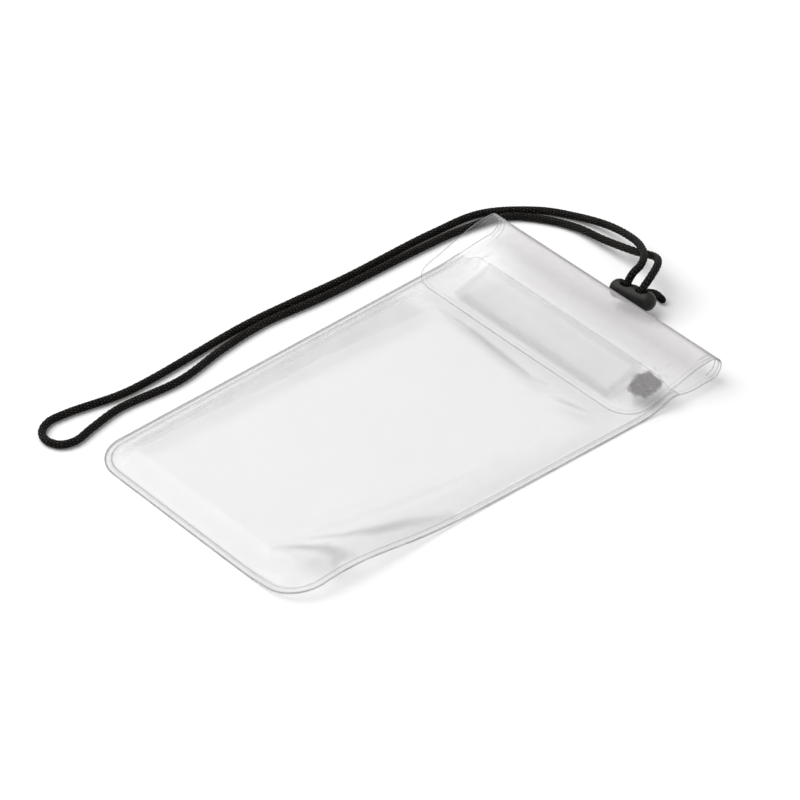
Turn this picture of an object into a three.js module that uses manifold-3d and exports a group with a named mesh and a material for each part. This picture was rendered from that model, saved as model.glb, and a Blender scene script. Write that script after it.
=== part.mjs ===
// Waterproof phone pouch of clear film, lying on its back with its flap folded over the front.
// Millimetres. X across the pouch, Y from the welded bottom to the fold, Z up from the surface it lies on.
import * as THREE from 'three';
import * as BufferGeometryUtils from 'three/addons/utils/BufferGeometryUtils.js';
import Module from 'manifold-3d';

const wasm = await Module();
wasm.setup();

// Film and outline of the pouch
const filmThickness = 0.3;
const foldedLength = 175;
const foldWidth = 105;
const bottomWidth = 98.5;
const bottomCornerRadius = 12;
const weldWidth = 3;
const layerGap = 0.05;

// Front sheet: how far it stands off the back sheet
const puffHeight = 3.4;
const sideSlope = 8;
const puffEndFromFold = 50;
const headerFromFold = 36.5;

// Flap: it rolls over at the fold and slopes down to its free edge
const foldHeight = 10.2;
const rollHeight = 8.3;
const rollRise = 24;
const flapSlope = 34;
const flapRest = 3.25;
const flapLength = 40.5;
const flapCornerRadius = 10;

// Hook-and-loop closure
const stripLength = 72;
const stripWidth = 15.6;
const stripThickness = 1;
const stripFromFold = 19;
const stripGap = 0.1;
const mouthBeyondStrip = 1;

// Lanyard toggle, seated behind the fold
const toggleLength = 17.4;
const toggleDiameter = 6.6;
const toggleRound = 3.1;
const toggleShift = 6.9;
const toggleTurn = THREE.MathUtils.degToRad(10);
const toggleTilt = THREE.MathUtils.degToRad(18);
const cordHoleSpacing = 6;
const cordHoleDiameter = 4.2;
const cordHoleMouth = 5.4;
const cordHoleMouthDepth = 1.2;
const grooveWidth = 2;
const grooveDepth = 0.8;
const seatGap = 0.3;

// Neck cord and its tail
const cordDiameter = 2.7;
const cordSides = 8;
const cordSteps = 80;
const tailSteps = 8;

// Two places where the pouch's right edge curls up off the surface, a long one and a short one
const longCurlFromBottom = 22;
const longCurlHeight = 4.8;
const longCurlReach = 26;
const longCurlDepth = 14;
const shortCurlFromFold = 21;
const shortCurlHeight = 2.6;
const shortCurlReach = 6;
const shortCurlDepth = 9;

// Half width of the front sheet's crease ridges
const creaseReach = 4;

const bottomY = -foldedLength / 2;
const foldY = foldedLength / 2;
const rollRadius = (rollHeight - filmThickness) / 2;
const rollY = foldY - rollHeight / 2;
const rollZ = foldHeight - rollHeight / 2;
const stripTopY = foldY - stripFromFold;
const mouthY = stripTopY + mouthBeyondStrip;

const clearFilm = {
  color: 0xe9ecee,
  roughness: 0.12,
  metalness: 0,
  transparent: true,
  opacity: 0.35,
};

const edgeCurls = [
  { y: bottomY + longCurlFromBottom, height: longCurlHeight, along: longCurlReach, inward: longCurlDepth },
  { y: foldY - shortCurlFromFold, height: shortCurlHeight, along: shortCurlReach, inward: shortCurlDepth },
];

// Shallow ridges where the front sheet creases: each runs between two points, given as shares of the
// width from the middle and of the length from the bottom, with its height as a share of the puff
const creases = [
  { from: [0.295, 0.054], to: [0.419, 0.146], height: 0.26 },
  { from: [0.305, 0.151], to: [0.457, 0.351], height: 0.2 },
  { from: [0.257, 0.146], to: [0.438, 0.631], height: 0.12 },
];

function smooth(t) {
  const c = THREE.MathUtils.clamp(t, 0, 1);
  return c * c * (3 - 2 * c);
}

// Half the width of a sheet at y, before its corners are rounded
function halfWidth(y) {
  return THREE.MathUtils.lerp(bottomWidth, foldWidth, (y - bottomY) / foldedLength) / 2;
}

// How far a corner of this radius draws the side in, at this distance from the sheet's end
function cornerInset(distance, radius) {
  const inside = Math.max(radius - distance, 0);
  return radius - Math.sqrt(radius * radius - inside * inside);
}

// Distances from an end at which a rounded corner is cut into equal angles
function cornerStations(radius) {
  const count = 5;
  const stations = [];
  for (let i = 0; i <= count; i += 1) {
    stations.push(radius * (1 - Math.cos((i / count) * (Math.PI / 2))));
  }
  return stations;
}

// Adds values to the list in equal steps, from its last value to this one
function stepTo(list, end, count) {
  const start = list[list.length - 1];
  for (let i = 1; i <= count; i += 1) {
    list.push(THREE.MathUtils.lerp(start, end, i / count));
  }
}

// Distances across the pouch at which a sheet of this half width is cut: close at its sides, wide between
function columns(half) {
  const sides = [0, weldWidth, weldWidth + sideSlope / 3, weldWidth + (sideSlope * 2) / 3];
  const xs = sides.map((offset) => offset - half);
  const inner = half - weldWidth - sideSlope;
  xs.push(-inner);
  stepTo(xs, inner, 10);
  sides.toReversed().forEach((offset) => xs.push(half - offset));
  return xs;
}

// Distances along the pouch, from the welded bottom to the front sheet's mouth
function bodyRows() {
  const rows = cornerStations(bottomCornerRadius).map((distance) => bottomY + distance);
  stepTo(rows, foldY - puffEndFromFold, 16);
  stepTo(rows, foldY - headerFromFold, 5);
  stepTo(rows, mouthY, 9);
  return rows;
}

// A closed sheet from rings: each ring runs across under the sheet, from right to left, and back over it
function sheetFromRings(rings) {
  const size = rings[0].length;
  const half = size / 2;
  const index = [];
  for (let r = 0; r < rings.length - 1; r += 1) {
    for (let k = 0; k < size; k += 1) {
      const a = r * size + k;
      const b = r * size + ((k + 1) % size);
      if (k < half) {
        index.push(a, b, b + size, a, b + size, a + size);
      } else {
        index.push(a, b, a + size, b, b + size, a + size);
      }
    }
  }
  const last = (rings.length - 1) * size;
  for (let k = 0; k < half - 1; k += 1) {
    const far = size - 1 - k;
    index.push(k, far, k + 1, k + 1, far, far - 1);
    index.push(last + k, last + k + 1, last + far, last + k + 1, last + far - 1, last + far);
  }
  const geometry = new THREE.BufferGeometry();
  geometry.setAttribute('position', new THREE.Float32BufferAttribute(rings.flat(2), 3));
  geometry.setIndex(index);
  return geometry;
}

// How far the back sheet's underside is off the surface, at its curled edge and under the roll
function lift(x, y) {
  const underRoll = (foldHeight - rollHeight) * smooth((y - rollY + rollRise) / rollRise);
  return edgeCurls.reduce((sum, curl) => {
    const along = (y - curl.y) / curl.along;
    const inward = (halfWidth(y) - x) / curl.inward;
    return sum + curl.height * Math.exp(-along * along - inward * inward);
  }, underRoll);
}

// Height of the flap's middle plane, from the roll's top down to the free edge
function flapLevel(y) {
  const share = smooth((y - rollY + flapSlope) / flapSlope);
  return THREE.MathUtils.lerp(flapRest, foldHeight - filmThickness / 2, share);
}

// Heights of the tops of the hook strip, the loop strip and the front sheet under the flap
function hookTop(y) {
  return flapLevel(y) - filmThickness / 2 - stripGap;
}

function loopTop(y) {
  return hookTop(y) - stripThickness - stripGap;
}

function headerTop(y) {
  return loopTop(y) - stripThickness - stripGap;
}

// The back sheet from the welded bottom, round the fold, to the flap's free edge: one folded film
function backSheet() {
  const across = (half, toPoints) => {
    const xs = columns(half);
    const under = xs.map((x) => toPoints(x)[0]).reverse();
    return [...under, ...xs.map((x) => toPoints(x)[1])];
  };
  const rows = bodyRows();
  stepTo(rows, rollY, 4);
  const rings = rows.map((y) => {
    const half = halfWidth(y) - cornerInset(y - bottomY, bottomCornerRadius);
    return across(half, (x) => [[x, y, lift(x, y)], [x, y, lift(x, y) + filmThickness]]);
  });
  const addFolded = (y, z, normal, inset) => {
    const offset = normal.clone().multiplyScalar(filmThickness / 2);
    const outer = [y + offset.x, z + offset.y];
    const inner = [y - offset.x, z - offset.y];
    rings.push(across(halfWidth(y) - inset, (x) => [[x, ...outer], [x, ...inner]]));
  };
  const rollParts = 12;
  for (let i = 1; i <= rollParts; i += 1) {
    const angle = (i / rollParts) * Math.PI;
    const normal = new THREE.Vector2(Math.sin(angle), -Math.cos(angle));
    addFolded(rollY + rollRadius * normal.x, rollZ + rollRadius * normal.y, normal, 0);
  }
  const flapEdge = foldY - flapLength;
  const flapRows = [rollY];
  stepTo(flapRows, flapEdge + flapCornerRadius, 10);
  flapRows.shift();
  const cornerRows = cornerStations(flapCornerRadius).reverse().slice(1);
  cornerRows.forEach((distance) => flapRows.push(flapEdge + distance));
  for (const y of flapRows) {
    const slope = flapLevel(y + 0.5) - flapLevel(y - 0.5);
    const normal = new THREE.Vector2(-slope, 1).normalize();
    addFolded(y, flapLevel(y), normal, cornerInset(y - flapEdge, flapCornerRadius));
  }
  return sheetFromRings(rings);
}

function creaseHeight(x, y) {
  const onSheet = ([across, along]) => new THREE.Vector2(across * foldWidth, bottomY + along * foldedLength);
  return creases.reduce((sum, crease) => {
    const from = onSheet(crease.from);
    const run = onSheet(crease.to).sub(from);
    const point = new THREE.Vector2(x, y).sub(from);
    const share = THREE.MathUtils.clamp(point.dot(run) / run.lengthSq(), 0, 1);
    const away = point.distanceTo(run.multiplyScalar(share)) / creaseReach;
    return sum + crease.height * puffHeight * Math.exp(-away * away);
  }, 0);
}

// Distance from the sheet's outline inwards, at the sides, the bottom and the rounded corners
function fromOutline(x, y) {
  const side = halfWidth(y) - Math.abs(x);
  const bottom = y - bottomY;
  if (side < bottomCornerRadius && bottom < bottomCornerRadius) {
    return bottomCornerRadius - Math.hypot(bottomCornerRadius - side, bottomCornerRadius - bottom);
  }
  return Math.min(side, bottom);
}

// How far the front sheet stands off the back sheet
function frontRise(x, y) {
  const inward = smooth((fromOutline(x, y) - weldWidth) / sideSlope);
  const puffEnd = foldY - puffEndFromFold;
  const headerStart = foldY - headerFromFold;
  const header = smooth((y - puffEnd) / (headerStart - puffEnd));
  const headerRise = headerTop(y) - 2 * filmThickness - layerGap - lift(x, y);
  const body = puffHeight + creaseHeight(x, y);
  return inward * THREE.MathUtils.lerp(body, headerRise, header);
}

function frontSheet() {
  const rings = bodyRows().map((y) => {
    const half = halfWidth(y) - cornerInset(y - bottomY, bottomCornerRadius);
    const under = columns(half).map((x) => {
      return [x, y, lift(x, y) + filmThickness + layerGap + frontRise(x, y)];
    });
    const over = under.map(([x, , z]) => [x, y, z + filmThickness]);
    return [...under.reverse(), ...over];
  });
  return sheetFromRings(rings);
}

// A strip of hook or loop tape that follows the flap, given the height of its top at y
function closureStrip(top) {
  const ys = [stripTopY - stripWidth];
  stepTo(ys, stripTopY, 8);
  const rings = ys.map((y) => {
    const xs = [-stripLength / 2, stripLength / 2];
    const over = xs.map((x) => [x, y, top(y)]);
    const under = xs.map((x) => [x, y, top(y) - stripThickness]);
    return [...under.reverse(), ...over];
  });
  return sheetFromRings(rings);
}

// A bean with rounded edges about its own middle, lying along X
function roundedBean(length, diameter, round) {
  const shape = new THREE.Shape();
  const radius = diameter / 2 - round;
  const reach = (length - diameter) / 2;
  shape.absarc(reach, 0, radius, -Math.PI / 2, Math.PI / 2, false);
  shape.absarc(-reach, 0, radius, Math.PI / 2, (Math.PI * 3) / 2, false);
  const depth = diameter - 2 * round;
  const geometry = new THREE.ExtrudeGeometry(shape, {
    depth,
    bevelThickness: round,
    bevelSize: round,
    bevelSegments: 5,
    curveSegments: 10,
  });
  return geometry.translate(0, 0, -depth / 2);
}

function toManifold(geometry) {
  const bare = geometry.clone();
  bare.deleteAttribute('normal');
  bare.deleteAttribute('uv');
  const merged = BufferGeometryUtils.mergeVertices(bare, 1e-4);
  return new wasm.Manifold(new wasm.Mesh({
    numProp: 3,
    vertProperties: new Float32Array(merged.attributes.position.array),
    triVerts: new Uint32Array(merged.index.array),
  }));
}

function fromManifold(solid) {
  const mesh = solid.getMesh();
  const geometry = new THREE.BufferGeometry();
  geometry.setAttribute('position', new THREE.Float32BufferAttribute(mesh.vertProperties, 3));
  geometry.setIndex(Array.from(mesh.triVerts));
  return geometry;
}

// The toggle: a rounded bean with two holes, each with a wide mouth, and a groove between the mouths
function toggleBean() {
  const top = toggleDiameter / 2;
  let bean = toManifold(roundedBean(toggleLength, toggleDiameter, toggleRound));
  for (const side of [-1, 1]) {
    const x = (side * cordHoleSpacing) / 2;
    const hole = new THREE.CylinderGeometry(
      cordHoleDiameter / 2, cordHoleDiameter / 2, 2 * toggleDiameter, 16,
    ).rotateX(Math.PI / 2).translate(x, 0, 0);
    const mouth = new THREE.CylinderGeometry(
      cordHoleMouth / 2, cordHoleDiameter / 2, cordHoleMouthDepth, 16,
    ).rotateX(Math.PI / 2).translate(x, 0, top - cordHoleMouthDepth / 2);
    bean = bean.subtract(toManifold(hole)).subtract(toManifold(mouth));
  }
  const groove = new THREE.BoxGeometry(cordHoleSpacing, grooveWidth, 2 * grooveDepth);
  bean = bean.subtract(toManifold(groove.translate(0, 0, top)));
  return fromManifold(bean);
}

// The cord's route: out of the toggle's left hole, over the other strand, along the pouch's left side
// to the loop's end, and back to the right hole
const cordRoute = [
  [3.9, 91.8, 6.8],
  [3.8, 92.7, 9.2],
  [3.8, 94.8, 11.6],
  [3.4, 98.4, 12.7],
  [-0.4, 103.8, 12.1],
  [-6.6, 108.2, 10.4],
  [-14.9, 111.9, 7.7],
  [-29.1, 114.6, 3.7],
  [-41.7, 112.0, 1.7],
  [-52.1, 105.7, 1.4],
  [-63.7, 90.1, 1.4],
  [-66.1, 70.0, 1.4],
  [-66.2, 32.1, 1.4],
  [-67.5, 9.7, 1.4],
  [-68.1, -8.8, 1.4],
  [-65.7, -50.2, 1.4],
  [-66.0, -61.8, 1.4],
  [-69.7, -80.5, 1.4],
  [-69.9, -87.4, 1.4],
  [-67.2, -92.0, 1.4],
  [-62.9, -93.5, 1.4],
  [-58.5, -91.6, 1.4],
  [-56.8, -87.0, 1.4],
  [-58.6, -78.5, 1.4],
  [-60.7, -66.5, 1.4],
  [-59.3, -42.8, 1.4],
  [-63.0, -22.4, 1.4],
  [-64.8, -4.2, 1.4],
  [-63.0, 20.2, 1.4],
  [-61.1, 79.0, 1.4],
  [-56.6, 95.2, 1.4],
  [-47.6, 103.2, 1.4],
  [-37.2, 107.7, 1.8],
  [-23.0, 108.4, 3.6],
  [-9.6, 108.7, 6.4],
  [0.4, 108.2, 9.8],
  [5.8, 104.0, 12.0],
  [9.8, 96.4, 11.9],
  [9.7, 93.7, 9.2],
  [9.8, 92.8, 6.8],
];

// The cord's end, which comes out under the toggle and lies behind it
const tailRoute = [
  [7.0, 94.1, 1.4],
  [4.8, 97.4, 1.4],
  [4.4, 100.2, 1.4],
  [6.6, 102.2, 1.4],
  [12.0, 101.6, 1.4],
];

function cordAlong(route, steps) {
  const path = new THREE.CatmullRomCurve3(route.map((point) => new THREE.Vector3(...point)));
  const section = new THREE.Shape();
  for (let i = 0; i < cordSides; i += 1) {
    const angle = (i / cordSides) * 2 * Math.PI;
    const x = (cordDiameter / 2) * Math.cos(angle);
    const y = (cordDiameter / 2) * Math.sin(angle);
    if (i === 0) {
      section.moveTo(x, y);
    } else {
      section.lineTo(x, y);
    }
  }
  return new THREE.ExtrudeGeometry(section, { steps, extrudePath: path });
}

function piece(name, geometry, look) {
  const mesh = new THREE.Mesh(geometry, new THREE.MeshStandardMaterial(look));
  mesh.name = name;
  return mesh;
}

const pouch = new THREE.Group();
pouch.add(piece('back_sheet', backSheet(), clearFilm));
pouch.add(piece('front_sheet', frontSheet(), clearFilm));
pouch.add(piece('loop_strip', closureStrip(loopTop), { color: 0xf1f1f2, roughness: 0.9 }));
pouch.add(piece('hook_strip', closureStrip(hookTop), { color: 0xe6e6e8, roughness: 0.8 }));

const toggle = piece('lanyard_toggle', toggleBean(), { color: 0x2b2b29, roughness: 0.42 });
const turnedReach = (toggleDiameter + (toggleLength - toggleDiameter) * Math.sin(toggleTurn)) / 2;
toggle.position.set(toggleShift, foldY + seatGap + turnedReach, rollZ);
toggle.rotation.set(-toggleTilt, 0, toggleTurn, 'ZYX');
pouch.add(toggle);

const blackCord = { color: 0x17171a, roughness: 0.85 };
pouch.add(piece('neck_cord', cordAlong(cordRoute, cordSteps), blackCord));
pouch.add(piece('cord_tail', cordAlong(tailRoute, tailSteps), blackCord));

export default pouch;
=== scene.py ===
"""A clear waterproof phone pouch with a black neck cord, lying on a pale floor.

The film, the closure tapes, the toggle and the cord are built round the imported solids.
Shapes are worked out in millimetres, and add_mesh turns them into metres.
"""

import math

import bpy
import numpy as np
from mathutils import Matrix, Vector


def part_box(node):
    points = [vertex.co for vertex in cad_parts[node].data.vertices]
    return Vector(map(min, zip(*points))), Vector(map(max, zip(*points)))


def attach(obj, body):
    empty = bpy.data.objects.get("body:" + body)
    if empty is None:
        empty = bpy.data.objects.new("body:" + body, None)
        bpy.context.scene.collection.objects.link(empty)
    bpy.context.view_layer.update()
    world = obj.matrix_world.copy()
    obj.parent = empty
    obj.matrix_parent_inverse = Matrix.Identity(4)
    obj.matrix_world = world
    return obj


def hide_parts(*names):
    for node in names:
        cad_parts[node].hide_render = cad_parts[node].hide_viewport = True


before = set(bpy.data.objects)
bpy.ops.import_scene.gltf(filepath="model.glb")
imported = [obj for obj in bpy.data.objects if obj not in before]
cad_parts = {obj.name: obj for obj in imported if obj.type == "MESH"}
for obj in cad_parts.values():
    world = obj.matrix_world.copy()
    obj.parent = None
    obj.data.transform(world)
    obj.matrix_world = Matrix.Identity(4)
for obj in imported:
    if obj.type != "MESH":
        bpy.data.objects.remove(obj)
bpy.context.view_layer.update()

MM = 0.001


def box_mm(node):
    low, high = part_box(node)
    return np.array(low) / MM, np.array(high) / MM


# Sizes that the solids give, in millimetres
film_low, film_high = box_mm("back_sheet")
loop_low, loop_high = box_mm("loop_strip")
hook_low, hook_high = box_mm("hook_strip")
toggle_low, toggle_high = box_mm("lanyard_toggle")
bottom_y = film_low[1]
fold_y = film_high[1]
fold_width = 2 * film_high[0]
fold_height = film_high[2]
folded_length = fold_y - bottom_y

# Film, as in the solids
film = 0.3
bottom_width = 98.5
corner_radius = 12.0
weld_width = 3.0
layer_gap = 0.05
puff_height = 3.4
side_slope = 8.0
puff_end = fold_y - 50.0
header_start = fold_y - 36.5
roll_height = 8.3
roll_rise = 24.0
flap_slope = 34.0
flap_rest = 3.25
flap_length = 40.5
flap_corner = 10.0
strip_thickness = 1.0
strip_gap = 0.1
mouth_y = loop_high[1] + 1.0
roll_radius = (roll_height - film) / 2
roll_y = fold_y - roll_height / 2
roll_z = fold_height - roll_height / 2
flap_edge_y = fold_y - flap_length

# Places where the right edge curls up: distance from the bottom, height, reach along and reach inwards,
# in millimetres
edge_curls = [(22.0, 4.8, 26.0, 14.0), (154.0, 2.6, 6.0, 9.0)]

# Ridges of the front sheet: their ends, height and half width, in millimetres
creases = [
    ((31.0, -78.0), (44.0, -62.0), 0.9, 4.0),
    ((32.0, -61.0), (48.0, -26.0), 0.7, 4.0),
    ((27.0, -62.0), (46.0, 23.0), 0.4, 4.0),
]


# Camera
photo_side = 800
view_azimuth = math.radians(48.71)
view_elevation = math.radians(38.12)
view_distance = 1.42
view_target = Vector((0.0, -0.0008, 0.0))
sensor = 36.0
focal_pixels = 4515.6
target_pixel = (403.0, 416.5)


def add_camera():
    data = bpy.data.cameras.new("camera")
    data.sensor_width = sensor
    data.lens = focal_pixels / photo_side * sensor
    data.shift_x = (photo_side / 2 - target_pixel[0]) / photo_side
    data.shift_y = (target_pixel[1] - photo_side / 2) / photo_side
    data.clip_start = 0.05
    data.clip_end = 20.0
    camera = bpy.data.objects.new("camera", data)
    bpy.context.scene.collection.objects.link(camera)
    back = Vector((
        math.sin(view_azimuth) * math.cos(view_elevation),
        -math.cos(view_azimuth) * math.cos(view_elevation),
        math.sin(view_elevation),
    ))
    camera.location = view_target + back * view_distance
    camera.rotation_mode = "QUATERNION"
    camera.rotation_quaternion = (-back).to_track_quat("-Z", "Y")
    bpy.context.scene.camera = camera


# Node materials
class Look:
    """A node material under construction."""

    def __init__(self, name):
        self.material = bpy.data.materials.new(name)
        self.material.use_nodes = True
        self.tree = self.material.node_tree
        self.tree.nodes.clear()

    def add(self, kind, inputs=None, **settings):
        node = self.tree.nodes.new(kind)
        for key, value in settings.items():
            setattr(node, key, value)
        for key, value in (inputs or {}).items():
            self.put(node.inputs[key], value)
        return node

    def put(self, socket, value):
        if isinstance(value, bpy.types.NodeSocket):
            self.tree.links.new(value, socket)
        else:
            socket.default_value = value

    def math(self, operation, a, b=0.0, clamp=False):
        node = self.add("ShaderNodeMath", {0: a, 1: b}, operation=operation, use_clamp=clamp)
        return node.outputs[0]

    def field(self, name):
        return self.add("ShaderNodeAttribute", attribute_name=name).outputs["Fac"]

    def ramp(self, value, low, high, start=0.0, end=1.0):
        """start at low and below, end at high and above, and smooth between."""
        node = self.add("ShaderNodeMapRange", {
            "Value": value, "From Min": low, "From Max": high, "To Min": start, "To Max": end,
        }, interpolation_type="SMOOTHSTEP")
        return node.outputs[0]

    def line(self, value, centre, reach):
        """1 where value is centre, 0 from reach away."""
        away = self.math("ABSOLUTE", self.math("SUBTRACT", value, centre))
        return self.ramp(away, 0.0, reach, 1.0, 0.0)

    def place(self):
        return self.add("ShaderNodeTexCoord").outputs["Object"]

    def noise(self, scale, detail=2.0, roughness=0.5, vector=None):
        node = self.add("ShaderNodeTexNoise", {
            "Vector": vector or self.place(), "Scale": scale, "Detail": detail, "Roughness": roughness,
        })
        return node.outputs["Fac"]

    def mix(self, share, a, b):
        node = self.add("ShaderNodeMix", data_type="RGBA")
        self.put(node.inputs["Factor"], share)
        self.put(node.inputs[6], a)
        self.put(node.inputs[7], b)
        return node.outputs[2]

    def bump(self, height, strength, distance):
        node = self.add("ShaderNodeBump", {
            "Height": height, "Strength": strength, "Distance": distance,
        })
        return node.outputs[0]

    def finish(self, shader):
        output = self.add("ShaderNodeOutputMaterial")
        self.tree.links.new(shader, output.inputs["Surface"])
        return self.material


# Clear film: how dense one face of a layer looks, straight on and with each kind of mark on it. The grey
# bands, the creases' shade and the grey-lilac near the fold are painted shade, and the flap's lighter parts
# are painted light
face_density = 0.062
shade_density = 0.34
lilac_shade_density = 0.26
grey_patch_density = 0.71
turned_density = 0.45
least_slant = 0.16
turned_slant = 0.50

# Clear film: its surface and its colours
film_roughness = 0.35
film_specular = 0.25
film_ior = 1.45
gloss_roughness = 0.18
gloss_share = 0.02
film_light = (0.66, 0.66, 0.665, 1.0)
# Grey of the painted shade in bands and along creases
painted_shade_grey = (0.44, 0.44, 0.45, 1.0)
# Lilac grey of the painted shade near the fold and on the flap
film_lilac = (0.62, 0.585, 0.605, 1.0)
grey_patch_colour = (0.20, 0.186, 0.188, 1.0)
line_grey = (0.30, 0.30, 0.31, 1.0)

# Fine lines along the film's edge, each as (distance from the edge, reach, density)
front_lines = [(2.2, 0.34, 0.30), (0.1, 0.40, 0.30)]
back_lines = [(1.75, 0.26, 0.10), (0.1, 0.40, 0.26)]
back_fold_lines = [(1.2, 0.24, 0.30), (2.9, 0.30, 0.34)]

# Cut edge of the film
rim_dark = (0.30, 0.30, 0.31, 1.0)
rim_light = (0.62, 0.62, 0.63, 1.0)
rim_alpha = 0.62

# Closure tapes, seen through the flap: a napped middle, and a plain border that ends between two distances
# from the tape's edge
tape_alpha = 0.06
border_alpha_more = 0.05
border_starts_to_end = 1.9
border_end = 2.3
loop_ground = (0.93, 0.93, 0.935, 1.0)
loop_border = (0.60, 0.60, 0.61, 1.0)
loop_nap = 0.6
hook_ground = (0.93, 0.92, 0.935, 1.0)
hook_border = (0.58, 0.57, 0.585, 1.0)
hook_nap = 0.4

# Black yarn and black plastic
yarn_black = (0.0035, 0.0032, 0.0030, 1.0)
yarn_brown = (0.0070, 0.0062, 0.0056, 1.0)
yarn_painted_glint = (0.24, 0.22, 0.20, 1.0)
yarn_specular = 0.04
plastic_dark = (0.005, 0.005, 0.0042, 1.0)
plastic_light = (0.010, 0.010, 0.0085, 1.0)
plastic_specular = 0.20


def clear_film(name, lines, fold_lines=()):
    """Film that is denser where it is seen at a slant, with fine lines at set distances from its edge.

    fold_lines are the lines that only the film at the fold has.
    """
    look = Look(name)
    edge = look.field("edge")
    dark = look.field("dark")
    lilac_shade = look.field("lilac_shade")
    grey_patch = look.field("grey_patch")
    ripple = look.bump(look.noise(55.0, 2.0), 0.15, 0.0012)
    facing = look.add("ShaderNodeLayerWeight", {"Blend": 0.5}).outputs["Facing"]
    slant = look.math("MAXIMUM", look.math("SUBTRACT", 1.0, facing), least_slant)
    density = look.math("DIVIDE", face_density, slant)
    turned_away = look.ramp(slant, least_slant, turned_slant, 1.0, 0.0)
    turned_away = look.math("MULTIPLY", turned_away, look.field("fold"))
    # Painted shade and painted light: the dark field greys the film in bands, along creases and on the flap,
    # and clears it where the flap is painted lighter
    painted_shade_and_light = look.math("MULTIPLY", dark, shade_density)
    line = None
    for centre, reach, strength in (*lines, *fold_lines):
        drawn = look.math("MULTIPLY", look.line(edge, centre, reach), strength)
        if (centre, reach, strength) in fold_lines:
            drawn = look.math("MULTIPLY", drawn, look.field("fold"))
        line = drawn if line is None else look.math("MAXIMUM", line, drawn)
    ragged = look.math("MULTIPLY", look.math("SUBTRACT", look.noise(430.0, 5.0, 0.7), 0.5), 1.9)
    patchy = look.ramp(look.noise(900.0, 3.0, 0.6), 0.30, 0.65, 0.82, 1.0)
    spot = look.math("MULTIPLY", look.ramp(look.math("ADD", grey_patch, ragged), 0.05, 1.1), patchy)
    spot = look.math("MULTIPLY", spot, look.ramp(grey_patch, 0.0, 0.12))
    total = look.math("MAXIMUM", look.math("ADD", density, painted_shade_and_light), 0.0)
    total = look.math("ADD", total, look.math("MULTIPLY", lilac_shade, lilac_shade_density))
    total = look.math("ADD", total, line)
    total = look.math("ADD", total, look.math("MULTIPLY", spot, grey_patch_density))
    total = look.math("ADD", total, look.math("MULTIPLY", turned_away, turned_density), clamp=True)
    # Painted shade, tinted lilac: near the fold, over the roll and on the flap
    colour = look.mix(look.ramp(lilac_shade, 0.0, 0.2), film_light, film_lilac)
    colour = look.mix(look.ramp(dark, 0.0, 0.5), colour, painted_shade_grey)
    greyer = look.math("MAXIMUM", line, look.math("MULTIPLY", turned_away, 0.2))
    colour = look.mix(look.ramp(greyer, 0.02, 0.2), colour, line_grey)
    colour = look.mix(look.ramp(spot, 0.02, 0.35), colour, grey_patch_colour)
    surface = look.add("ShaderNodeBsdfPrincipled", {
        "Base Color": colour, "Roughness": film_roughness, "Specular IOR Level": film_specular,
        "Normal": ripple,
    })
    clear = look.add("ShaderNodeBsdfTransparent")
    body = look.add("ShaderNodeMixShader", {0: total, 1: clear.outputs[0], 2: surface.outputs[0]})
    shine = look.add("ShaderNodeBsdfAnisotropic", {
        "Color": (1.0, 1.0, 1.0, 1.0), "Roughness": gloss_roughness, "Normal": ripple,
    })
    mirror = look.add("ShaderNodeFresnel", {"IOR": film_ior, "Normal": ripple}).outputs[0]
    share = look.math("MULTIPLY", mirror, gloss_share)
    both = look.add("ShaderNodeMixShader", {0: share, 1: body.outputs[0], 2: shine.outputs[0]})
    return look.finish(both.outputs[0])


def cut_edge():
    """The film's cut edge, which the eye meets as a thin grey line."""
    look = Look("film_cut_edge")
    cloud = look.noise(160.0, 3.0)
    colour = look.mix(look.ramp(cloud, 0.35, 0.65), rim_dark, rim_light)
    surface = look.add("ShaderNodeBsdfPrincipled", {
        "Base Color": colour, "Roughness": film_roughness, "IOR": 1.5, "Alpha": rim_alpha,
    })
    return look.finish(surface.outputs[0])


def woven_tape(name, ground, border, nap):
    """Hook or loop tape: a napped middle and a plain woven border."""
    look = Look(name)
    edge = look.field("edge")
    frame_share = look.ramp(edge, border_starts_to_end, border_end, 1.0, 0.0)
    fuzz = look.noise(2600.0, 3.0, 0.7)
    cloud = look.noise(90.0, 3.0)
    tone = look.mix(look.ramp(cloud, 0.3, 0.7), ground, tuple(0.93 * c for c in ground[:3]) + (1.0,))
    tone = look.mix(look.math("MULTIPLY", look.ramp(fuzz, 0.35, 0.65), 0.10), tone, border)
    colour = look.mix(frame_share, tone, border)
    surface = look.add("ShaderNodeBsdfPrincipled", {
        "Base Color": colour, "Roughness": 0.9, "Specular IOR Level": 0.1,
        "Alpha": look.math("ADD", look.math("MULTIPLY", frame_share, border_alpha_more), tape_alpha),
        "Normal": look.bump(fuzz, nap, 0.0004),
    })
    return look.finish(surface.outputs[0])


def braided_yarn():
    """Black yarn: the fibres run with each strand, and fine light specks on the tops of its pillows are
    painted highlights.
    """
    look = Look("black_braid")
    fibre = look.noise(5200.0, 3.0, 0.65)
    cloud = look.noise(210.0, 2.0)
    crown = look.field("crown")
    colour = look.mix(look.ramp(cloud, 0.3, 0.7), yarn_black, yarn_brown)
    # Painted highlight: light specks where the fibres cross the tops of the pillows
    colour = look.mix(
        look.math("MULTIPLY", look.ramp(crown, 0.62, 0.95), look.ramp(fibre, 0.45, 0.60)),
        colour, yarn_painted_glint,
    )
    rough = look.ramp(fibre, 0.3, 0.7, 0.42, 0.72)
    surface = look.add("ShaderNodeBsdfPrincipled", {
        "Base Color": colour, "Roughness": rough, "Specular IOR Level": yarn_specular,
        "Normal": look.bump(fibre, 0.5, 0.00012),
    })
    return look.finish(surface.outputs[0])


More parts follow.
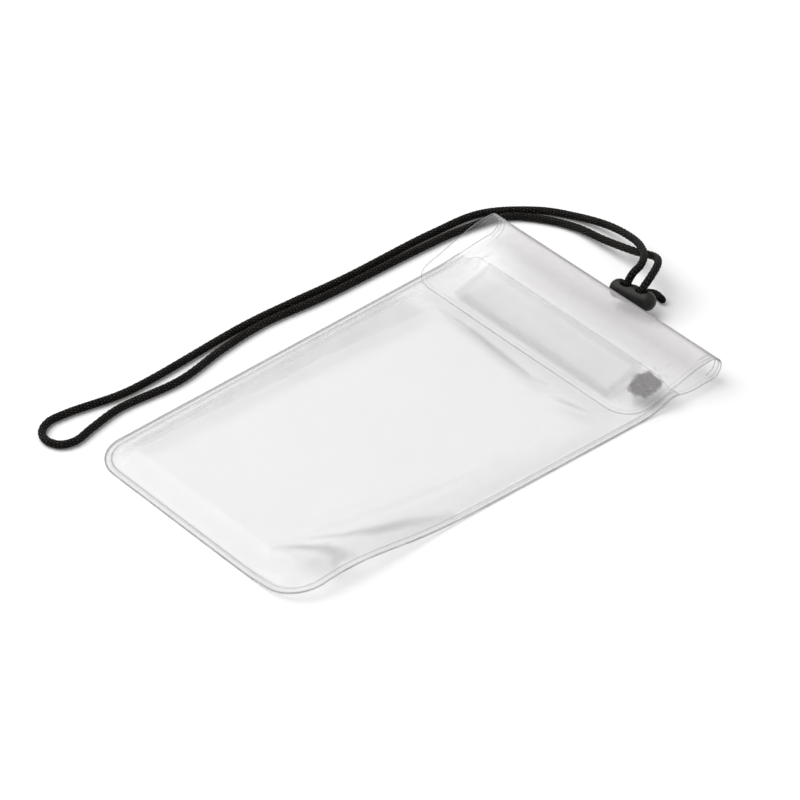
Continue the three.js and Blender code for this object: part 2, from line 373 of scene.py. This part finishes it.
def moulded_plastic():
    look = Look("black_moulded_plastic")
    grain = look.noise(1500.0, 4.0, 0.6)
    cloud = look.noise(180.0, 2.0)
    colour = look.mix(look.ramp(cloud, 0.3, 0.7), plastic_dark, plastic_light)
    surface = look.add("ShaderNodeBsdfPrincipled", {
        "Base Color": colour, "Roughness": look.ramp(grain, 0.3, 0.7, 0.38, 0.52),
        "Specular IOR Level": plastic_specular,
        "Normal": look.bump(grain, 0.25, 0.00008),
    })
    return look.finish(surface.outputs[0])


# Meshes
def add_mesh(name, points, faces, fields, materials, slots=None):
    """A mesh from points in millimetres. fields are numbers per point, and slots each face's material."""
    mesh = bpy.data.meshes.new(name)
    mesh.from_pydata((np.asarray(points) * MM).tolist(), [], faces)
    for field, values in fields.items():
        attribute = mesh.attributes.new(field, "FLOAT", "POINT")
        attribute.data.foreach_set("value", np.asarray(values, np.float32).ravel())
    for material in materials:
        mesh.materials.append(material)
    if slots is not None:
        mesh.polygons.foreach_set("material_index", slots)
    mesh.polygons.foreach_set("use_smooth", [True] * len(mesh.polygons))
    mesh.update()
    piece = bpy.data.objects.new(name, mesh)
    bpy.context.scene.collection.objects.link(piece)
    return piece


def solid_sheet(name, under, over, fields, materials):
    """A closed sheet between two grids of points, whose cut edges take the second material."""
    rows, columns = over.shape[:2]
    count = rows * columns
    index = np.arange(count).reshape(rows, columns)
    a, b = index[:-1, :-1].ravel(), index[:-1, 1:].ravel()
    c, d = index[1:, 1:].ravel(), index[1:, :-1].ravel()
    top = np.stack([a, b, c, d], 1)
    bottom = np.stack([d, c, b, a], 1) + count
    ring = np.concatenate([index[0, :-1], index[:-1, -1], index[-1, :0:-1], index[:0:-1, 0]])
    after = np.roll(ring, -1)
    side = np.stack([after, ring, ring + count, after + count], 1)
    faces = np.concatenate([top, bottom, side]).tolist()
    slots = [0] * (2 * len(a)) + [1] * len(ring)
    points = np.concatenate([over.reshape(-1, 3), under.reshape(-1, 3)])
    doubled = {field: np.tile(values.ravel(), 2) for field, values in fields.items()}
    piece = add_mesh(name, points, faces, doubled, materials, slots)
    lips = {tuple(sorted(pair)) for pair in zip(ring.tolist(), after.tolist())}
    lips |= {(p + count, q + count) for p, q in lips}
    edges = np.zeros(2 * len(piece.data.edges), np.int32)
    piece.data.edges.foreach_get("vertices", edges)
    sharp = [tuple(sorted(pair)) in lips for pair in edges.reshape(-1, 2).tolist()]
    piece.data.attributes.new("sharp_edge", "BOOLEAN", "EDGE").data.foreach_set("value", sharp)
    return piece


# The shapes that the sheets follow, as in the solids
def smooth(t):
    t = np.clip(t, 0.0, 1.0)
    return t * t * (3 - 2 * t)


def between(a, b, share):
    return a + (b - a) * share


def half_width(y):
    return between(bottom_width, fold_width, (y - bottom_y) / folded_length) / 2


def corner_inset(distance, radius):
    inside = np.clip(radius - distance, 0.0, None)
    return radius - np.sqrt(radius * radius - inside * inside)


def lift(x, y):
    total = (fold_height - roll_height) * smooth((y - roll_y + roll_rise) / roll_rise)
    for from_bottom, height, along, inward in edge_curls:
        total = total + height * np.exp(
            -((y - bottom_y - from_bottom) / along) ** 2 - ((half_width(y) - x) / inward) ** 2
        )
    return total


def flap_level(y):
    share = smooth((y - roll_y + flap_slope) / flap_slope)
    return between(flap_rest, fold_height - film / 2, share)


def hook_top(y):
    return flap_level(y) - film / 2 - strip_gap


def loop_top(y):
    return hook_top(y) - strip_thickness - strip_gap


def header_top(y):
    return loop_top(y) - strip_thickness - strip_gap


def rounded_edge(side, end, radius):
    """Distance inwards from an outline whose corner is rounded, from the distances to its side and end."""
    in_corner = (side < radius) & (end < radius)
    round_part = radius - np.hypot(radius - side, radius - end)
    return np.where(in_corner, round_part, np.minimum(side, end))


def from_outline(x, y):
    return rounded_edge(half_width(y) - np.abs(x), y - bottom_y, corner_radius)


def to_stroke(x, y, points):
    """Distance from a line through these points, and how far along it the nearest place is, from 0 to 1."""
    points = np.array(points, float)
    nearest = np.full(x.shape, 1e9)
    along = np.zeros(x.shape)
    runs = np.linalg.norm(np.diff(points, axis=0), axis=1)
    starts = np.concatenate([[0.0], np.cumsum(runs)])
    for i, run in enumerate(runs):
        step = (points[i + 1] - points[i]) / run
        share = np.clip((x - points[i, 0]) * step[0] + (y - points[i, 1]) * step[1], 0.0, run)
        away = np.hypot(x - points[i, 0] - share * step[0], y - points[i, 1] - share * step[1])
        closer = away < nearest
        nearest = np.where(closer, away, nearest)
        along = np.where(closer, (starts[i] + share) / starts[-1], along)
    return nearest, along


def crease_height(x, y):
    total = np.zeros(x.shape)
    for start, end, height, reach in creases:
        away, _ = to_stroke(x, y, [start, end])
        total += height * np.exp(-(away / reach) ** 2)
    return total


def ripples(x, y, seed, lengths, height):
    """Slow waves of film that was folded and has relaxed."""
    draw = np.random.default_rng(seed)
    total = np.zeros(np.broadcast(x, y).shape)
    for length in lengths:
        turn, phase = draw.uniform(0, 2 * math.pi, 2)
        total += np.sin((x * math.cos(turn) + y * math.sin(turn)) * 2 * math.pi / length + phase)
    return total * height / len(lengths)


def front_rise(x, y):
    inward = smooth((from_outline(x, y) - weld_width) / side_slope)
    header = smooth((y - puff_end) / (header_start - puff_end))
    header_rise = header_top(y) - 2 * film - layer_gap - lift(x, y)
    body = puff_height + crease_height(x, y) + ripples(x, y, 3, (31.0, 47.0, 73.0), 0.35)
    return inward * between(body, header_rise, header)


# Grids over the sheets
side_step = 0.6
middle_columns = 90
row_step = 0.9
corner_rows = 16
roll_rows = 36
side_zone = 16.0


def spread(start, end, step):
    return np.linspace(start, end, max(2, round(abs(end - start) / step) + 1))


def column_places(half):
    """Places across a sheet of this half width: close at its sides and even between."""
    sides = spread(0.0, side_zone, side_step)
    middle = np.linspace(side_zone - half, half - side_zone, middle_columns)[1:-1]
    return np.concatenate([sides - half, middle, half - sides[::-1]])


def corner_places(radius):
    return radius * (1 - np.cos(np.linspace(0.0, math.pi / 2, corner_rows)))


def body_rows():
    return np.concatenate([
        bottom_y + corner_places(corner_radius),
        spread(bottom_y + corner_radius, mouth_y, row_step)[1:],
    ])


def body_columns(rows):
    halves = half_width(rows) - corner_inset(rows - bottom_y, corner_radius)
    return np.stack([column_places(half) for half in halves])


# Painted shade on the film, in the part's own places: the grey band by the left weld, where the front sheet
# slopes down, and shade along its creases and below the flap's edge
left_band_inner = [
    (-38.8, -80.5), (-38.1, -66.0), (-37.4, -43.0), (-36.0, -12.0), (-34.0, 19.3), (-32.7, 34.0),
]
left_band_shade = 0.28
streak_shade = 1.2
shade_streaks = [
    # Points, reach, strength
    ([(-30.5, 42.7), (-17.8, 43.4), (-1.6, 41.8), (14.8, 39.8), (20.2, 41.2)], 1.3, 0.55),
    ([(27.3, 37.6), (33.0, 39.6), (40.4, 41.7)], 1.1, 0.45),
    ([(28.3, -74.6), (32.9, -71.0), (38.5, -68.6), (42.6, -65.0), (45.4, -61.4)], 1.9, 0.62),
    ([(45.5, -61.8), (44.0, -66.0), (46.3, -69.5)], 1.6, 0.45),
    ([(31.9, -65.4), (38.2, -57.6), (41.6, -48.6), (43.5, -37.8), (45.3, -29.6), (47.0, -22.7)], 1.4, 0.52),
    ([(29.3, -71.9), (31.3, -57.8), (33.8, -43.8), (36.0, -31.2), (39.8, -4.2), (41.2, 11.3)], 1.8, 0.14),
]


def left_band(x, y):
    """Painted shade: the grey band where the front sheet comes down to the left weld; it widens towards the
    flap.
    """
    inner = np.array(left_band_inner)
    inner_x = np.interp(y, inner[:, 1], inner[:, 0])
    outer_x = np.interp(y, [-80.0, 33.0], [-45.0, -49.5])
    inside = smooth((inner_x + 0.5 - x) / 1.1) * smooth((x - outer_x + 1.6) / 3.2)
    ends = smooth((y + 83.0) / 14.0) * smooth((43.0 - y) / 8.0)
    mottle = 0.9 + 0.12 * ripples(x, y, 11, (9.0, 17.0, 23.0, 41.0), 1.4)
    return inside * ends * mottle


def body_painted_shade(x, y):
    # Painted shade: the band by the left weld and the shade along creases
    total = left_band_shade * left_band(x, y)
    for points, reach, strength in shade_streaks:
        away, along = to_stroke(x, y, points)
        taper = 0.35 + 0.65 * np.sin(math.pi * np.clip(along, 0.03, 0.97))
        total = np.maximum(total, streak_shade * strength * taper * np.exp(-(away / reach) ** 2))
    return np.clip(total, 0.0, 1.0)


# The grey patch, in millimetres
grey_patch_middle = (43.4, 62.3)
grey_patch_reach = (4.6, 4.2)


def grey_patch_at(x, y):
    """A grey patch beside the right end of the closure, with a soft halo towards the fold."""
    u = (x - grey_patch_middle[0]) / grey_patch_reach[0]
    v = (y - grey_patch_middle[1]) / grey_patch_reach[1]
    away = (np.abs(u) ** 3 + np.abs(v) ** 3) ** (1 / 3) + 0.07 * ripples(x, y, 21, (3.1, 4.3, 5.9, 8.3), 2.0)
    core = smooth((1.35 - away) / 0.6)
    halo = 0.12 * np.exp(-(u / 1.4) ** 2 - ((v - 1.1) / 1.9) ** 2)
    return np.clip(core + halo, 0.0, 1.0)


def add_front_film(materials):
    rows = body_rows()
    x = body_columns(rows)
    y = np.repeat(rows[:, None], x.shape[1], 1)
    under = np.stack([x, y, lift(x, y) + film + layer_gap + front_rise(x, y)], -1)
    over = under + [0.0, 0.0, film]
    zero = np.zeros(x.shape)
    fields = {"edge": from_outline(x, y), "dark": body_painted_shade(x, y), "lilac_shade": zero, "grey_patch": zero}
    return solid_sheet("front_film", under, over, fields, materials)


# Flap: painted light that makes its film clearer than the body's, its painted shade tinted lilac, and its
# slow waves
flap_lightening = 0.08
low_right_lightening = 0.12
left_lightening = 0.10
fold_shade_level = 0.66
tape_shade_level = 0.09
flap_wave = 0.14
roll_shade_start = 1.4
roll_shade_reach = 0.7


def flap_painted_shade(x, y):
    """Painted shade on the flap: along the fold, above the closure tape and in a small tick at its left end.
    """
    above_tape, _ = to_stroke(x, y, [(-33.0, 70.3), (34.0, 71.0)])
    tick, _ = to_stroke(x, y, [(-37.5, 63.8), (-39.1, 67.0), (-38.2, 70.5)])
    shade = 0.06 * smooth((x + 40.0) / 50.0) * smooth((y - 70.0) / 9.0)
    shade = shade + 0.10 * np.exp(-(above_tape / 1.8) ** 2)
    return np.clip(np.maximum(shade, 0.5 * np.exp(-(tick / 0.8) ** 2)), 0.0, 1.0)


def flap_painted_light(x, y):
    """Painted light: how much clearer the flap's film is made than the body's, most at its left end and low
    at its right end.
    """
    low_right = smooth((x - 20.0) / 20.0) * smooth((68.0 - y) / 12.0)
    left = smooth((-30.0 - x) / 10.0)
    return flap_lightening + low_right_lightening * low_right + left_lightening * left


def flap_lilac_shade(x, y):
    """Painted shade, tinted lilac: most near the fold, least over the tapes and at the flap's left end."""
    over_tape = smooth((y - 50.5) / 4.0) * smooth((76.0 - y) / 9.0)
    level = between(fold_shade_level * smooth((y - 60.0) / 24.0), tape_shade_level, over_tape)
    left_end = smooth((x + 44.0 + 0.5 * np.clip(y - 66.0, 0.0, 20.0)) / 14.0)
    return level * smooth((y - flap_edge_y) / 3.0) * left_end


def add_back_film(materials):
    rows = body_rows()
    rows = np.concatenate([rows, spread(mouth_y, roll_y, row_step)[1:]])
    x = body_columns(rows)
    y = np.repeat(rows[:, None], x.shape[1], 1)
    z = lift(x, y)
    floor_under = np.stack([x, y, z], -1)
    floor_over = floor_under + [0.0, 0.0, film]
    zero = np.zeros(x.shape)
    floor_fields = {"edge": from_outline(x, y), "dark": zero, "lilac_shade": zero, "grey_patch": zero, "fold": zero}

    angles = np.linspace(0.0, math.pi, roll_rows + 1)[1:]
    corner = corner_places(flap_corner)[::-1]
    flap_rows = np.concatenate([
        spread(roll_y, flap_edge_y + flap_corner, row_step)[1:],
        flap_edge_y + corner[1:],
    ])
    slope = flap_level(flap_rows + 0.5) - flap_level(flap_rows - 0.5)
    steep = np.hypot(slope, 1.0)
    middle_y = np.concatenate([roll_y + roll_radius * np.sin(angles), flap_rows])
    middle_z = np.concatenate([roll_z - roll_radius * np.cos(angles), flap_level(flap_rows)])
    normal_y = np.concatenate([np.sin(angles), -slope / steep])
    normal_z = np.concatenate([-np.cos(angles), 1.0 / steep])
    on_flap = np.concatenate([np.zeros(roll_rows), np.ones(len(flap_rows))])
    # Painted shade, tinted lilac, over the top and back of the roll
    over_roll = smooth((angles - roll_shade_start) / roll_shade_reach)
    shaded_rows = np.concatenate([over_roll, np.ones(len(flap_rows))])
    insets = corner_inset(middle_y - flap_edge_y, flap_corner)
    half = half_width(middle_y) - insets
    fx = np.stack([column_places(h) for h in half])
    fy = np.repeat(middle_y[:, None], fx.shape[1], 1)
    flap_share = on_flap[:, None] * smooth((roll_y - fy) / 8.0)
    wave = flap_share * (flap_wave + ripples(fx, fy, 8, (26.0, 39.0, 58.0), flap_wave))
    out_y, out_z = normal_y[:, None], normal_z[:, None]
    centre_z = middle_z[:, None] + wave
    outer = np.stack([fx, fy + out_y * film / 2, centre_z + out_z * film / 2], -1)
    inner = np.stack([fx, fy - out_y * film / 2, centre_z - out_z * film / 2], -1)
    side = half_width(fy) - np.abs(fx)
    end = np.where(on_flap[:, None] > 0, fy - flap_edge_y, folded_length)
    fold_fields = {
        "edge": rounded_edge(side, end, flap_corner),
        "dark": (flap_painted_shade(fx, fy) - flap_painted_light(fx, fy)) * flap_share,
        "lilac_shade": flap_lilac_shade(fx, fy) * shaded_rows[:, None],
        "grey_patch": grey_patch_at(fx, fy) * flap_share,
        "fold": 1.0 - on_flap[:, None] * smooth((roll_y - fy) / 6.0),
    }
    under = np.concatenate([floor_under, outer])
    over = np.concatenate([floor_over, inner])
    fields = {key: np.concatenate([floor_fields[key], fold_fields[key]]) for key in floor_fields}
    return solid_sheet("back_film", under, over, fields, materials)


# Tapes: how their edges are rounded off, and how much their weave stands up
tape_round = 0.22
tape_round_reach = 0.9
weave_height = 0.03


def add_tape(name, low, high, top, material):
    """A tape with soft edges, which follows the flap."""
    xs = spread(low[0], high[0], 0.8)
    ys = spread(low[1], high[1], 0.5)
    y, x = np.meshgrid(ys, xs, indexing="ij")
    side = np.minimum(x - low[0], high[0] - x)
    end = np.minimum(y - low[1], high[1] - y)
    edge = np.minimum(side, end)
    soft = tape_round * (1 - smooth(edge / tape_round_reach))
    weave = weave_height * ripples(x, y, 5, (2.3, 3.1, 3.7), 1.0)
    over = np.stack([x, y, top(y) - soft + weave * smooth(edge / 2.0) - weave_height], -1)
    under = np.stack([x, y, top(y) - strip_thickness + soft], -1)
    return solid_sheet(name, under, over, {"edge": edge}, [material, material])


# Toggle
toggle_length = 17.4
toggle_diameter = 6.6
toggle_turn = math.radians(10.0)
toggle_tilt = math.radians(18.0)
hole_spacing = 6.0
hole_radius = 2.1
mouth_radius = 2.7
mouth_depth = 1.2
groove_width = 2.0
groove_depth = 0.8
bean_voxel = 0.16
bean_soften_rounds = 6


def lathed(name, stations, sides=48):
    """A closed body about X from (place along X, radius) stations; the first and last radii are 0."""
    angles = np.linspace(0.0, 2 * math.pi, sides, endpoint=False)
    points = [(stations[0][0], 0.0, 0.0)]
    for along, radius in stations[1:-1]:
        points += [(along, radius * math.cos(a), radius * math.sin(a)) for a in angles]
    points.append((stations[-1][0], 0.0, 0.0))
    faces = []
    rings = len(stations) - 2
    last = len(points) - 1
    for k in range(sides):
        after = (k + 1) % sides
        faces.append((0, 1 + after, 1 + k))
        faces.append((last, 1 + (rings - 1) * sides + k, 1 + (rings - 1) * sides + after))
        for r in range(rings - 1):
            a, b = 1 + r * sides + k, 1 + r * sides + after
            faces.append((a, b, b + sides, a + sides))
    return add_mesh(name, points, faces, {}, [])


def cut(piece, tool):
    modifier = piece.modifiers.new("cut", "BOOLEAN")
    modifier.operation = "DIFFERENCE"
    modifier.solver = "EXACT"
    modifier.object = tool
    bake_modifiers(piece)
    bpy.data.objects.remove(tool)


def bake_modifiers(piece):
    """The piece's mesh becomes what its modifiers make of it."""
    graph = bpy.context.evaluated_depsgraph_get()
    made = bpy.data.meshes.new_from_object(piece.evaluated_get(graph))
    piece.modifiers.clear()
    piece.data = made


def add_toggle(material):
    """A smooth bean with two cord holes, softened all over as a moulding is."""
    radius = toggle_diameter / 2
    reach = toggle_length / 2 - radius
    turns = np.linspace(0.0, math.pi / 2, 14)
    left = [(-reach - radius * math.cos(t), radius * math.sin(t)) for t in turns]
    right = [(-x, r) for x, r in reversed(left)]
    belly = [(x, radius) for x in np.linspace(-reach, reach, 14)[1:-1]]
    bean = lathed("toggle_bean", left + belly + right)
    for side in (-1, 1):
        x = side * hole_spacing / 2
        depth = radius - mouth_depth
        profile = [
            (-2 * radius, 0.0), (-2 * radius, hole_radius), (depth, hole_radius),
            (radius, mouth_radius), (1.5 * radius, mouth_radius * 1.25), (1.5 * radius, 0.0),
        ]
        tool = lathed("hole_tool", profile, 32)
        turn = Matrix.Rotation(-math.pi / 2, 4, "Y")
        tool.data.transform(Matrix.Translation((x * MM, 0.0, 0.0)) @ turn)
        cut(bean, tool)
    groove = [(s * hole_spacing / 2, t * groove_width / 2, z) for z in (radius - groove_depth, 1.5 * radius)
              for s, t in ((-1, -1), (1, -1), (1, 1), (-1, 1))]
    sides = [(3, 2, 1, 0), (4, 5, 6, 7), (0, 1, 5, 4), (1, 2, 6, 5), (2, 3, 7, 6), (3, 0, 4, 7)]
    cut(bean, add_mesh("groove_tool", groove, sides, {}, []))
    remesh = bean.modifiers.new("even", "REMESH")
    remesh.mode = "VOXEL"
    remesh.voxel_size = bean_voxel * MM
    soften = bean.modifiers.new("soften", "SMOOTH")
    soften.iterations = bean_soften_rounds
    soften.factor = 0.5
    bake_modifiers(bean)
    bean.data.polygons.foreach_set("use_smooth", [True] * len(bean.data.polygons))
    bean.data.materials.clear()
    bean.data.materials.append(material)
    middle = Vector((toggle_low + toggle_high) / 2 * MM)
    turned = Matrix.Rotation(toggle_turn, 4, "Z") @ Matrix.Rotation(-toggle_tilt, 4, "X")
    bean.data.transform(Matrix.Translation(middle) @ turned)
    return bean


# Cord
cord_diameter = 2.7
cord_route = [
    (3.9, 91.8, 6.8), (3.8, 92.7, 9.2), (3.8, 94.8, 11.6), (3.4, 98.4, 12.7), (-0.4, 103.8, 12.1),
    (-6.6, 108.2, 10.4), (-14.9, 111.9, 7.7), (-29.1, 114.6, 3.7), (-41.7, 112.0, 1.7), (-52.1, 105.7, 1.4),
    (-63.7, 90.1, 1.4), (-66.1, 70.0, 1.4), (-66.2, 32.1, 1.4), (-67.5, 9.7, 1.4), (-68.1, -8.8, 1.4),
    (-65.7, -50.2, 1.4), (-66.0, -61.8, 1.4), (-69.7, -80.5, 1.4), (-69.9, -87.4, 1.4), (-67.2, -92.0, 1.4),
    (-62.9, -93.5, 1.4), (-58.5, -91.6, 1.4), (-56.8, -87.0, 1.4), (-58.6, -78.5, 1.4), (-60.7, -66.5, 1.4),
    (-59.3, -42.8, 1.4), (-63.0, -22.4, 1.4), (-64.8, -4.2, 1.4), (-63.0, 20.2, 1.4), (-61.1, 79.0, 1.4),
    (-56.6, 95.2, 1.4), (-47.6, 103.2, 1.4), (-37.2, 107.7, 1.8), (-23.0, 108.4, 3.6), (-9.6, 108.7, 6.4),
    (0.4, 108.2, 9.8), (5.8, 104.0, 12.0), (9.8, 96.4, 11.9), (9.7, 93.7, 9.2), (9.8, 92.8, 6.8),
]
tail_route = [(7.0, 94.1, 1.4), (4.8, 97.4, 1.4), (4.4, 100.2, 1.4), (6.6, 102.2, 1.4), (12.0, 101.6, 1.4)]
braid_sides = 36
braid_step = 0.30
braid_strands = 9
braid_pitch = 2.3
braid_depth = 0.17
tail_melt = 3.0


def curve_through(route, per_stretch=24):
    """A centripetal Catmull-Rom curve through the points."""
    points = [np.array(p, float) for p in route]
    points = [2 * points[0] - points[1], *points, 2 * points[-1] - points[-2]]
    line = []
    for i in range(1, len(points) - 2):
        p0, p1, p2, p3 = points[i - 1:i + 3]
        d0, d1, d2 = (math.sqrt(np.linalg.norm(q - p)) for p, q in ((p0, p1), (p1, p2), (p2, p3)))
        start = ((p1 - p0) / d0 - (p2 - p0) / (d0 + d1) + (p2 - p1) / d1) * d1
        end = ((p2 - p1) / d1 - (p3 - p1) / (d1 + d2) + (p3 - p2) / d2) * d1
        for t in np.linspace(0.0, 1.0, per_stretch, endpoint=False):
            line.append(
                (2 * t**3 - 3 * t**2 + 1) * p1 + (t**3 - 2 * t**2 + t) * start
                + (3 * t**2 - 2 * t**3) * p2 + (t**3 - t**2) * end
            )
    line.append(points[-2])
    return np.array(line)


def evenly(line, step):
    runs = np.concatenate([[0.0], np.cumsum(np.linalg.norm(np.diff(line, axis=0), axis=1))])
    places = np.linspace(0.0, runs[-1], round(runs[-1] / step) + 1)
    return np.stack([np.interp(places, runs, line[:, k]) for k in range(3)], 1), places


def add_braid(name, route, material, melted_end=0.0):
    """A braided cord along the route: two sets of strands cross and make rows of small pillows.

    melted_end is the length over which its far end is melted to a smooth, rounded tip.
    """
    line, places = evenly(curve_through(route), braid_step)
    along = np.gradient(line, axis=0)
    along /= np.linalg.norm(along, axis=1)[:, None]
    across = np.zeros(line.shape)
    first = np.cross(along[0], (0.0, 0.0, 1.0))
    across[0] = first / np.linalg.norm(first)
    for i in range(1, len(line)):
        carried = across[i - 1] - along[i] * (across[i - 1] @ along[i])
        across[i] = carried / np.linalg.norm(carried)
    up = np.cross(along, across)
    angles = np.linspace(0.0, 2 * math.pi, braid_sides, endpoint=False)
    round_it = braid_strands * angles[None, :] / 2
    onward = math.pi * places[:, None] / braid_pitch
    pillow = np.abs(np.sin(round_it + onward)) * np.abs(np.sin(round_it - onward))
    left = places[-1] - places[:, None]
    tip = 1.0
    if melted_end:
        melt = smooth(1 - left / melted_end)
        pillow = pillow * (1 - 0.8 * melt)
        tip = np.sqrt(np.clip(1 - (1 - left / (cord_diameter / 2)) ** 2, 0.02, 1.0))
        tip = np.where(left < cord_diameter / 2, tip, 1.0)
    radius = cord_diameter / 2 - braid_depth * (1 - pillow)
    radius = np.broadcast_to(radius * tip, pillow.shape)
    rings = line[:, None] + radius[..., None] * (
        np.cos(angles)[None, :, None] * across[:, None] + np.sin(angles)[None, :, None] * up[:, None]
    )
    count = len(line)
    index = np.arange(count * braid_sides).reshape(count, braid_sides)
    turned = np.roll(index, -1, 1)
    walls = np.stack([index[:-1], turned[:-1], turned[1:], index[1:]], -1).reshape(-1, 4)
    faces = walls.tolist() + [index[0, ::-1].tolist(), index[-1].tolist()]
    piece = add_mesh(name, rings.reshape(-1, 3), faces, {"crown": pillow}, [material])
    return piece, line * MM


# Floor, lamps and world
def seen_directly(nodes, links):
    """1 for what the camera sees straight, in a mirror or through glass, and 0 for light on the object."""
    path = nodes.new("ShaderNodeLightPath")
    first = nodes.new("ShaderNodeMath")
    second = nodes.new("ShaderNodeMath")
    first.operation = second.operation = "MAXIMUM"
    links.new(path.outputs["Is Camera Ray"], first.inputs[0])
    links.new(path.outputs["Is Glossy Ray"], first.inputs[1])
    links.new(first.outputs[0], second.inputs[0])
    links.new(path.outputs["Is Transmission Ray"], second.inputs[1])
    return second.outputs[0]


# Metres, watts and strengths; each lamp's place is to the right, away from the camera and up
floor_side = 12.0
floor_drop = 0.00006
floor_colour = 0.94
floor_glow = 0.06
sky_strength = 0.28
key_watts = 28.5
key_side = 1.6
key_place = (-0.75, 0.3, 1.35)
fill_watts = 1.5
fill_side = 0.8
fill_place = (0.9, -0.5, 0.9)


def add_floor():
    look = Look("pale_floor")
    shown = seen_directly(look.tree.nodes, look.tree.links)
    cloud = look.noise(3.0, 2.0)
    tone = look.mix(cloud, (floor_colour,) * 3 + (1.0,), (floor_colour * 1.01,) * 3 + (1.0,))
    ground = look.add("ShaderNodeBsdfDiffuse", {"Color": tone})
    glow = look.add("ShaderNodeEmission", {"Strength": look.math("MULTIPLY", shown, floor_glow)})
    both = look.add("ShaderNodeAddShader", {0: ground.outputs[0], 1: glow.outputs[0]})
    material = look.finish(both.outputs[0])
    half = floor_side / 2 / MM
    drop = -floor_drop / MM
    corners = [(-half, -half, drop), (half, -half, drop), (half, half, drop), (-half, half, drop)]
    floor = add_mesh("floor", corners, [(0, 1, 2, 3)], {}, [material])


def add_lamp(name, watts, side, place):
    """A square lamp that shines at the middle of the pouch."""
    right = Vector((math.cos(view_azimuth), math.sin(view_azimuth), 0.0))
    away = Vector((-math.sin(view_azimuth), math.cos(view_azimuth), 0.0))
    data = bpy.data.lights.new(name, "AREA")
    data.energy = watts
    data.size = side
    lamp = bpy.data.objects.new(name, data)
    bpy.context.scene.collection.objects.link(lamp)
    lamp.location = place[0] * right + place[1] * away + Vector((0, 0, place[2]))
    lamp.rotation_mode = "QUATERNION"
    lamp.rotation_quaternion = (-lamp.location).to_track_quat("-Z", "Y")


def add_light():
    add_lamp("key", key_watts, key_side, key_place)
    add_lamp("fill", fill_watts, fill_side, fill_place)
    world = bpy.data.worlds.new("studio")
    bpy.context.scene.world = world
    world.use_nodes = True
    nodes, links = world.node_tree.nodes, world.node_tree.links
    nodes.clear()
    sky = nodes.new("ShaderNodeBackground")
    strength = nodes.new("ShaderNodeMapRange")
    strength.inputs["To Min"].default_value = sky_strength
    strength.inputs["To Max"].default_value = 1.0
    links.new(seen_directly(nodes, links), strength.inputs["Value"])
    links.new(strength.outputs[0], sky.inputs["Strength"])
    sky.inputs["Color"].default_value = (1.0, 1.0, 1.0, 1.0)
    output = nodes.new("ShaderNodeOutputWorld")
    links.new(sky.outputs[0], output.inputs["Surface"])


add_camera()

yarn = braided_yarn()
neck_cord, neck_line = add_braid("neck_cord_braid", cord_route, yarn)
cord_tail, _ = add_braid("cord_tail_braid", tail_route, yarn, melted_end=tail_melt)
toggle = add_toggle(moulded_plastic())

rim = cut_edge()
body_look = clear_film("clear_film_body", front_lines)
back_look = clear_film("clear_film_back", back_lines, back_fold_lines)
front_film = add_front_film([body_look, rim])
back_film = add_back_film([back_look, rim])
loop_look = woven_tape("loop_nap", loop_ground, loop_border, loop_nap)
loop_tape = add_tape("loop_tape", loop_low, loop_high, loop_top, loop_look)
hook_look = woven_tape("hook_nap", hook_ground, hook_border, hook_nap)
hook_tape = add_tape("hook_tape", hook_low, hook_high, hook_top, hook_look)

for piece, node, slot in (
    (neck_cord, "neck_cord", "black_cord"),
    (cord_tail, "cord_tail", "black_cord"),
    (toggle, "lanyard_toggle", "black_plastic"),
    (front_film, "front_sheet", "clear_film"),
    (back_film, "back_sheet", "clear_film"),
    (loop_tape, "loop_strip", "loop_tape"),
    (hook_tape, "hook_strip", "hook_tape"),
):
    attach(piece, "root")
    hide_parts(node)

add_floor()
add_light()

scene = bpy.context.scene
scene.view_settings.view_transform = "Standard"
scene.cycles.transparent_max_bounces = 32
